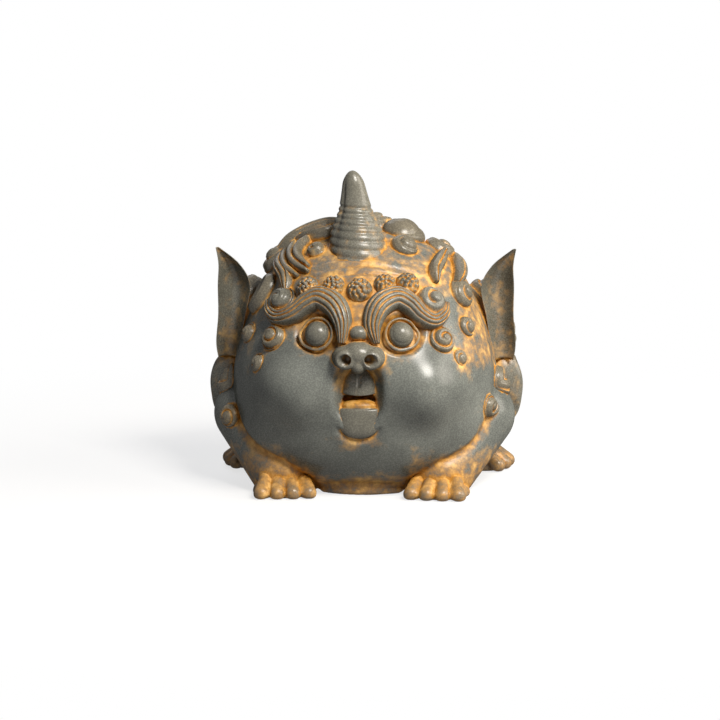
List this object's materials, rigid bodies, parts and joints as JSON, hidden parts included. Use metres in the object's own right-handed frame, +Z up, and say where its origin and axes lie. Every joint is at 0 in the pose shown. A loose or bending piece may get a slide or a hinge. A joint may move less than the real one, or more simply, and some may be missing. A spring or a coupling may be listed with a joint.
{
  "type": "pixiu statue",
  "caption": "Round crouching pixiu figure in dark iron-glazed stoneware with a single horn, scroll brows, curled mane, folded wings and a flat foot; a table ornament.",
  "frame": {"origin": "middle of the statue's box, on the ground under its foot", "axes": "+Z up, the face looks along -Y, the statue's own left side is +X"},
  "size_m": [0.091, 0.0872, 0.09],
  "materials": {
    "iron_glaze": "satin dark iron-grey glaze",
    "iron_glaze_relief": "satin iron glaze wiped from raised places",
    "rust_hair_glaze": "iron glaze with rust left in the grooves",
    "rust_wash": "matt rust and ochre wash",
    "bare_clay": "bare fired clay"
  },
  "bodies": {
    "root": {"body_shell": "iron_glaze", "base_plate": "bare_clay", "horn": "iron_glaze_relief", "left_brow": "iron_glaze_relief", "right_brow": "iron_glaze_relief", "left_eyeball": "iron_glaze_relief", "right_eyeball": "iron_glaze_relief", "left_eyelid": "iron_glaze_relief", "right_eyelid": "iron_glaze_relief", "left_ear": "iron_glaze_relief", "right_ear": "iron_glaze_relief", "left_wing": "iron_glaze_relief", "right_wing": "iron_glaze_relief", "nose": "iron_glaze_relief", "nose_bead": "iron_glaze_relief", "upper_lip": "iron_glaze_relief", "lower_lip": "iron_glaze_relief", "left_front_paw": "rust_wash", "right_front_paw": "rust_wash", "left_hind_paw": "rust_wash", "right_hind_paw": "rust_wash", "forehead_bead_1": "rust_hair_glaze", "forehead_bead_2": "rust_hair_glaze", "forehead_bead_3": "rust_hair_glaze", "forehead_bead_4": "rust_hair_glaze", "forehead_bead_5": "rust_hair_glaze", "left_temple_lock": "rust_hair_glaze", "left_cheek_curl": "rust_hair_glaze", "left_upper_curl": "rust_hair_glaze", "left_lower_curl": "rust_hair_glaze", "left_shoulder_curl": "rust_hair_glaze", "left_flank_curl": "rust_hair_glaze", "left_nape_curl": "rust_hair_glaze", "left_ruff_curl": "rust_hair_glaze", "left_side_curl": "rust_hair_glaze", "left_front_curl": "rust_hair_glaze", "right_temple_lock": "rust_hair_glaze", "right_cheek_curl": "rust_hair_glaze", "right_upper_curl": "rust_hair_glaze", "right_lower_curl": "rust_hair_glaze", "right_shoulder_curl": "rust_hair_glaze", "right_flank_curl": "rust_hair_glaze", "right_nape_curl": "rust_hair_glaze", "right_ruff_curl": "rust_hair_glaze", "right_side_curl": "rust_hair_glaze", "right_front_curl": "rust_hair_glaze", "left_crown_curl": "rust_hair_glaze", "right_crown_lock": "rust_hair_glaze", "top_curl": "rust_hair_glaze", "mane_curl_1": "rust_hair_glaze", "mane_curl_2": "rust_hair_glaze", "mane_curl_3": "rust_hair_glaze", "mane_curl_4": "rust_hair_glaze", "mane_curl_5": "rust_hair_glaze", "mane_curl_6": "rust_hair_glaze", "mane_curl_7": "rust_hair_glaze", "mane_curl_8": "rust_hair_glaze", "mane_curl_9": "rust_hair_glaze", "tail": "rust_hair_glaze"}
  },
  "joints": []
}
